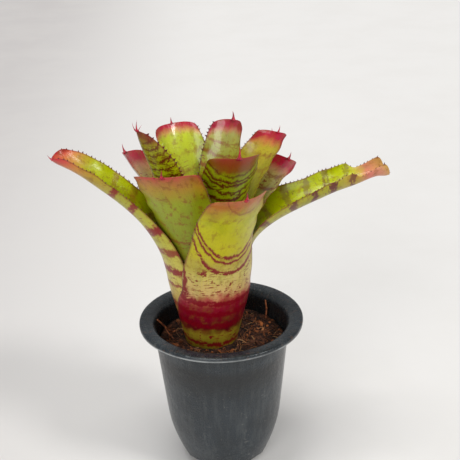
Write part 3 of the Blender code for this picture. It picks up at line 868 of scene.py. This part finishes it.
def pot_material():
    """Dusty, semi-matt black plastic: vertical streaks of dust, scuffs and dark pits, with painted shade
    below the lip and inside the wall, and a painted highlight along the lip's lower outer edge.
    """
    m = Look("pot_plastic")
    place = m.position()
    x, y, z = m.split(place)
    streaks = m.stretched(place, (260, 260, 16), 4.0, 0.6)
    cloud = m.noise(place, 38.0, 5.0, 0.62)
    fine = m.noise(place, 1500.0, 3.0, 0.6)
    grit = m.cells(place, 520.0)
    dust = m.mul(m.step(streaks, 0.42, 0.78), m.step(cloud, 0.32, 0.68, 0.25, 1.0))
    colour = m.blend(m.step(cloud, 0.3, 0.7), srgb(24, 31, 36), srgb(38, 46, 52))
    scratch = m.stretched(place, (170, 170, 420))
    scratch = m.mul(m.step(scratch, 0.66, 0.72), m.step(cloud, 0.50, 0.60))
    specks = m.mul(m.step(grit, 0.16, 0.08), m.step(m.noise(place, 120.0, 2.0), 0.5, 0.62))
    # Dark pits in the plastic, growing denser towards the lip: partly real pits, partly painted shade below
    # the lip.
    pits_and_lip_shade = m.mul(m.step(m.cells(place, 330.0), 0.24, 0.12), m.step(z, 0.074, 0.100, 0.06, 1.0))
    soil = m.mul(m.step(m.noise(place, 210.0, 4.0, 0.7), 0.56, 0.70), m.step(z, 0.0985, 0.1030))
    from_axis = m.math("SQRT", m.add(m.math("POWER", m.sub(x, POT_X), 2.0), m.math("POWER", y, 2.0)))
    # Painted highlight: a bright line along the lip's lower outer edge, broken up by the clouds.
    painted_highlight_edge = m.mul(m.step(from_axis, 0.0542, 0.0548), m.step(z, 0.1026, 0.1016))
    lip_edge_mark = m.mul(painted_highlight_edge, m.step(cloud, 0.35, 0.6, 0.25, 0.85))
    # Painted shade: the inside of the wall above the mix, darkened towards black.
    inside = m.mul(m.step(from_axis, 0.0446, 0.0438), m.step(z, 0.060, 0.080))
    layers = [
        (dust, 0.20, (124, 126, 122)), (scratch, 0.5, (132, 132, 126)), (specks, 0.5, (170, 166, 154)),
        (pits_and_lip_shade, 0.8, (16, 15, 14)), (soil, 0.55, (92, 66, 50)), (lip_edge_mark, 1.0, (168, 172, 172)),
        (inside, 0.75, (20, 20, 20)),
    ]
    for mask, share, shade in layers:
        colour = m.blend(m.mul(mask, share), colour, srgb(*shade))
    rough = m.add(m.mul(dust, 0.18), m.step(fine, 0.3, 0.7, 0.20, 0.32))
    dents = m.noise(place, 130.0, 3.0, 0.55)
    height = m.add(m.mul(fine, 0.25), m.add(m.mul(streaks, 0.9), m.mul(scratch, -0.4)))
    pebbles = m.noise(place, 560.0, 3.0, 0.6)
    height = m.add(height, m.add(m.mul(dents, 3.2), m.add(m.mul(pebbles, 1.3), m.mul(pits_and_lip_shade, -1.5))))
    m.set(Base_Color=colour, Roughness=rough, IOR=1.5, Normal=m.bump(height, 0.20 * MM, 0.75))
    return m.material


# ---- potting mix, roots and stem

MIX_TOP = 0.0870
MIX_DOME = 0.0020
MIX_RADIUS = 0.04225
TUBE_AT_MIX = 0.0176
CRUMB_HEIGHT = 1.25
CHIPS = 760
CHIP_SIZES = (0.0014, 0.0022, 0.0032, 0.0046)
CHIP_SHARES = (0.40, 0.33, 0.19, 0.08)
FIBRES = 190
FIBRE_STEPS = 8


def mix_dome(x, y):
    """The height of the smooth, slightly domed top that the crumbs lie on."""
    from_axis = math.hypot(x - POT_X, y) / MIX_RADIUS
    return MIX_TOP + MIX_DOME * (1 - from_axis**2)


def mix_height(x, y):
    """The height of the crumbly top of the mix at one place."""
    place = Vector((x, y, 0.0)) * 1000
    lumps = 0.9 * noise.noise(place * 0.16) + 0.55 * noise.noise(place * 0.45)
    lumps += 0.3 * noise.noise(place * 1.1)
    return mix_dome(x, y) + (CRUMB_HEIGHT + lumps) * MM


def make_mix_surface():
    """A crumbly skin that lies on the CAD mix, between the tube of leaves and the pot's wall."""
    rings, steps = 44, 260
    points = []
    for i in range(rings + 1):
        t = i / rings
        for j in range(steps):
            angle = 2 * math.pi * j / steps
            c, s = math.cos(angle), math.sin(angle)
            x = (1 - t) * (PLANT_X + TUBE_AT_MIX * c) + t * (POT_X + MIX_RADIUS * c)
            y = (1 - t) * TUBE_AT_MIX * s + t * MIX_RADIUS * s
            points.append((x, y, mix_height(x, y)))
    top = len(points)
    for i in (0, rings):
        for x, y, _ in points[i * steps : (i + 1) * steps]:
            points.append((x, y, mix_dome(x, y) + 0.06 * MM))
    faces = []
    for i in range(rings):
        for j in range(steps):
            k = (j + 1) % steps
            faces.append((i * steps + j, (i + 1) * steps + j, (i + 1) * steps + k, i * steps + k))
    for j in range(steps):
        k = (j + 1) % steps
        last = rings * steps
        faces.append((j, k, top + k, top + j))
        faces.append((last + j, top + steps + j, top + steps + k, last + k))
        faces.append((top + j, top + k, top + steps + k, top + steps + j))
    surface = new_mesh("mix_surface", points, faces)
    surface.data.materials.append(mix_material("mix_crumbs", loose=False))
    return finish_piece(surface, "potting_mix")


def on_mix(rng, margin):
    """A random place on the mix, clear of the leaves and of the wall."""
    while True:
        angle = rng.uniform(0, 2 * math.pi)
        radius = (MIX_RADIUS - margin) * math.sqrt(rng.uniform(0.05, 1))
        x, y = POT_X + radius * math.cos(angle), radius * math.sin(angle)
        if math.hypot(x - PLANT_X, y) > TUBE_AT_MIX + margin + 0.0008:
            return x, y


def add_chip(parts, rng, centre, size, tint):
    """A broken flake of bark: an uneven prism, lying nearly flat."""
    sides = int(rng.integers(4, 7))
    heading = rng.uniform(0, 2 * math.pi)
    tilt = rng.normal(0, 0.30, 2)
    thick = size * rng.uniform(0.14, 0.34)
    narrow = rng.uniform(0.35, 0.8)
    points = []
    for level, shrink in ((-0.5, 0.86), (0.0, 1.0), (0.5, 0.82)):
        for i in range(sides):
            angle = 2 * math.pi * i / sides
            r = size / 2 * shrink * (0.75 + 0.35 * noise.noise(Vector((i * 1.7, size * 900, tint * 9))))
            a, b = r * math.cos(angle), r * math.sin(angle) * narrow
            x = a * math.cos(heading) - b * math.sin(heading)
            y = a * math.sin(heading) + b * math.cos(heading)
            z = level * thick + x * tilt[0] + y * tilt[1]
            points.append((centre[0] + x, centre[1] + y, centre[2] + z))
    parts.add(points, tube_faces(3, sides), tint=tint)


def add_tube(parts, path, radii, sides=6, tint=0.5):
    """A closed tube of changing radius along a path of points."""
    path = np.asarray(path, float)
    ahead = unit(np.gradient(path, axis=0))
    aside = unit(np.cross(ahead, (0.13, 0.21, 0.97)))
    up = np.cross(aside, ahead)
    turn = np.linspace(0, 2 * math.pi, sides, endpoint=False)
    rings = [
        place + r * (np.outer(np.cos(turn), a) + np.outer(np.sin(turn), b))
        for place, r, a, b in zip(path, radii, aside, up)
    ]
    parts.add(np.concatenate(rings), tube_faces(len(path), sides), tint=tint)


def make_litter():
    """Bark chips and coir fibres that lie loose on the mix."""
    rng = np.random.default_rng(SEED)
    parts = Parts()
    for _ in range(CHIPS):
        size = rng.choice(CHIP_SIZES, p=CHIP_SHARES) * rng.uniform(0.8, 1.25)
        x, y = on_mix(rng, size / 2)
        tint = float(np.clip(rng.beta(1.4, 3.0) + 0.45 * (y < -0.018) * rng.uniform(0, 1), 0, 1))
        add_chip(parts, rng, (x, y, mix_height(x, y) + 0.12 * size), size, tint)
    for _ in range(FIBRES):
        length = rng.uniform(0.004, 0.015)
        x, y = on_mix(rng, 0.0015)
        heading = rng.uniform(0, 2 * math.pi)
        bend = rng.normal(0, 60)
        path = []
        for k in range(FIBRE_STEPS + 1):
            near_wall = math.hypot(x - POT_X, y) > MIX_RADIUS - 0.0008
            if near_wall or math.hypot(x - PLANT_X, y) < TUBE_AT_MIX + 0.0009:
                break
            arch = math.sin(math.pi * k / FIBRE_STEPS) * rng.uniform(0.2, 0.6) * MM
            path.append((x, y, mix_height(x, y) + 0.25 * MM + arch))
            x += length / FIBRE_STEPS * math.cos(heading)
            y += length / FIBRE_STEPS * math.sin(heading)
            heading += bend * length / FIBRE_STEPS
        if len(path) > 3:
            radii = np.linspace(1, 0.5, len(path)) * (rng.uniform(0.09, 0.20) * MM)
            add_tube(parts, path, radii, 5, float(rng.uniform(0.25, 1.0)))
    litter = new_mesh("mix_litter", parts.points, parts.faces, smooth=False)
    layer = litter.data.attributes.new("tint", "FLOAT", "POINT")
    layer.data.foreach_set("value", np.array(parts.tints, np.float32))
    litter.data.materials.append(mix_material("bark_and_coir", loose=True))
    return finish_piece(litter, "potting_mix")


def mix_material(name, loose):
    """Dark coir and bark, shaded by a loose piece's own tint or by the lumps of the mass."""
    m = Look(name)
    place = m.position()
    lumps = m.noise(place, 240.0, 5.0, 0.65)
    grain = m.noise(place, 1300.0, 4.0, 0.65)
    fibre = m.stretched(place, (2200, 500, 900))
    tint = m.attribute("tint").outputs["Fac"] if loose else m.mul(m.step(lumps, 0.3, 0.75), 0.42)
    tint = m.add(tint, m.mul(m.sub(grain, 0.5), 0.35))
    shades = [
        (0.0, srgb(22, 13, 10)), (0.20, srgb(54, 31, 22)), (0.42, srgb(108, 66, 44)),
        (0.7, srgb(160, 92, 46)), (1.0, srgb(198, 156, 108)),
    ]
    colour = m.ramp(tint, shades)
    crumbs = m.mul(m.step(m.cells(place, 900.0), 0.2, 0.1), m.step(lumps, 0.5, 0.62))
    colour = m.blend(m.mul(crumbs, 0.5), colour, srgb(150, 106, 70))
    height = m.add(m.mul(grain, 0.8), m.add(m.mul(fibre, 0.4), m.mul(lumps, 0.5)))
    rough = m.step(grain, 0.3, 0.7, 0.72, 0.95)
    m.set(Base_Color=colour, Roughness=rough, Normal=m.bump(height, 0.5 * MM, 0.9), Specular_IOR_Level=0.3)
    return m.material


def curve_path(knots, count):
    """Points along a smooth curve through the knots."""
    knots = np.asarray(knots, float)
    along = np.linspace(0, 1, len(knots))
    return hermite(along, knots, np.linspace(0, 1, count))


def make_root(name, node, branches):
    """A dry root: tapered, slightly crooked tubes with small swellings."""
    parts = Parts()
    for number, (knots, thick, thin) in enumerate(branches):
        path = curve_path(knots, 34)
        wobble = [
            [noise.noise(Vector(p) * 330 + Vector((number, 0, shift))) for shift in (0.0, 31.4, 67.7)]
            for p in path
        ]
        path = path + 0.22 * MM * np.array(wobble)
        swell = np.array([1 + 0.28 * noise.noise(Vector(p) * 700) for p in path])
        add_tube(parts, path, np.linspace(thick, thin, len(path)) * MM * swell, 10)
    root = new_mesh(name, parts.points, parts.faces)
    m = Look(name)
    place = m.position()
    bark = m.noise(place, 420.0, 4.0, 0.6)
    fine = m.noise(place, 1900.0, 3.0)
    colour = m.blend(m.step(bark, 0.36, 0.66), srgb(98, 48, 26), srgb(176, 104, 62))
    colour = m.blend(m.step(fine, 0.6, 0.72, 0.0, 0.5), colour, srgb(52, 28, 18))
    m.set(Base_Color=colour, Roughness=0.72, Normal=m.bump(m.add(bark, fine), 0.25 * MM, 0.8))
    root.data.materials.append(m.material)
    return finish_piece(root, "root", node)


def make_roots():
    """A forked root that leans on the wall, and one that stands in the mix with a side shoot."""
    top = in_pot(179, 0.04290, 0.1032)
    foot = in_pot(168, 0.0348, 0.0899)
    end = in_pot(187, 0.0325, 0.0902)
    half = [(a + b) / 2 for a, b in zip(top, foot)]
    half[2] -= 0.0006
    make_root("leaning_twig", "leaning_root", [
        ([top, half, foot, in_pot(163, 0.0325, 0.0893)], 0.50, 0.74),
        ([half, in_pot(177, 0.0365, 0.0925), end], 0.46, 0.40),
    ])
    x, y, z = in_pot(37, 0.0392, 0.0860)
    upright = [
        (x, y, z - 0.002), (x, y, z + 0.003), (x + 0.0004, y, z + 0.0095), (x - 0.0003, y, z + 0.0168),
    ]
    shoot = [(x + 0.0004, y, z + 0.0080), (x + 0.0011, y - 0.0004, z + 0.0105)]
    make_root("standing_twig", "standing_root", [(upright, 0.70, 0.42), (shoot, 0.36, 0.22)])


def stem_material():
    m = Look("stem_skin")
    place = m.position()
    fibres = m.stretched(place, (1400, 1400, 90), 3.0, 0.6)
    scars = m.stretched(place, (0, 0, 380))
    colour = m.blend(m.step(fibres, 0.35, 0.7), srgb(118, 112, 54), srgb(158, 150, 92))
    colour = m.blend(m.step(scars, 0.56, 0.64, 0.0, 0.6), colour, srgb(88, 58, 32))
    m.set(Base_Color=colour, Roughness=0.6, Normal=m.bump(m.add(fibres, scars), 0.3 * MM, 0.8))
    return m.material


# ---- camera, floor, light

CAMERA_PLACE = (-0.0049, -0.5707, 0.4151)
CAMERA_YAW = 0.78
CAMERA_PITCH = 23.49
CAMERA_ROLL = -1.8
FOCAL_LENGTH = 75.4
SENSOR_WIDTH = 36.0
FLOOR_REACH = 4.0

def make_camera():
    """The photograph's view: from the front, looking down on the plant."""
    data = bpy.data.cameras.new("camera")
    data.lens = FOCAL_LENGTH
    data.sensor_width = SENSOR_WIDTH
    data.clip_start = 0.01
    camera = bpy.data.objects.new("camera", data)
    bpy.context.scene.collection.objects.link(camera)
    yaw, pitch, roll = (math.radians(angle) for angle in (CAMERA_YAW, CAMERA_PITCH, CAMERA_ROLL))
    ahead = np.array([math.sin(yaw) * math.cos(pitch), math.cos(yaw) * math.cos(pitch), -math.sin(pitch)])
    right = np.array([math.cos(yaw), -math.sin(yaw), 0.0])
    up = np.cross(right, ahead)
    tilted_right = math.cos(roll) * right + math.sin(roll) * up
    tilted_up = math.cos(roll) * up - math.sin(roll) * right
    matrix = np.eye(4)
    matrix[:3, 0] = tilted_right
    matrix[:3, 1] = tilted_up
    matrix[:3, 2] = -ahead
    matrix[:3, 3] = CAMERA_PLACE
    camera.matrix_world = Matrix(matrix.tolist())
    bpy.context.scene.camera = camera


def make_floor():
    """A pale, faintly clouded floor, with painted shade that darkens it towards the left."""
    corners = [(x * FLOOR_REACH, y * FLOOR_REACH, 0) for x, y in ((-1, -1), (1, -1), (1, 1), (-1, 1))]
    floor = new_mesh("floor", corners, [(0, 1, 2, 3)])
    m = Look("pale_floor")
    place = m.position()
    cloud = m.noise(place, 9.0, 5.0, 0.6)
    x, _, _ = m.split(place)
    # Painted shade: the floor darkens towards the left.
    colour = m.blend(m.step(x, -0.42, 0.02), srgb(193, 189, 187), srgb(228, 226, 223))
    colour = m.blend(m.step(cloud, 0.35, 0.7, 0.0, 0.2), colour, srgb(216, 213, 208))
    m.set(Base_Color=colour, Roughness=0.6)
    floor.data.materials.append(m.material)


def add_sun(name, direction, strength, angle, colour=(1, 1, 1)):
    """A broad, soft light from one side, as even over the floor as over the plant."""
    data = bpy.data.lights.new(name, "SUN")
    data.energy = strength
    data.angle = math.radians(angle)
    data.color = colour
    light = bpy.data.objects.new(name, data)
    bpy.context.scene.collection.objects.link(light)
    light.rotation_euler = Vector(direction).to_track_quat("Z", "Y").to_euler()


def make_light():
    world = bpy.data.worlds.new("studio")
    bpy.context.scene.world = world
    world.use_nodes = True
    background = world.node_tree.nodes["Background"]
    background.inputs[0].default_value = (0.97, 0.98, 1.0, 1.0)
    background.inputs[1].default_value = 0.38
    add_sun("overhead", (-0.15, -0.05, 1.0), 1.34, 24)
    add_sun("right_window", (0.75, -0.45, 0.85), 1.0, 14, (1.0, 0.99, 0.97))
    add_sun("front_fill", (-0.45, -1.0, 0.50), 1.25, 36)
    bpy.context.scene.view_settings.view_transform = "Standard"


# ---- the whole

make_camera()
make_floor()
make_light()
make_pot()
make_mix_surface()
make_litter()
make_roots()
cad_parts["potting_mix"].data.materials[0] = mix_material("mix_body", loose=False)
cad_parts["stem"].data.materials[0] = stem_material()
spines = spine_material()
for leaf_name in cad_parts:
    if leaf_name.endswith("_leaf"):
        make_leaf(leaf_name, {**DEFAULT_LOOK, **LOOKS.get(leaf_name, {})}, spines)
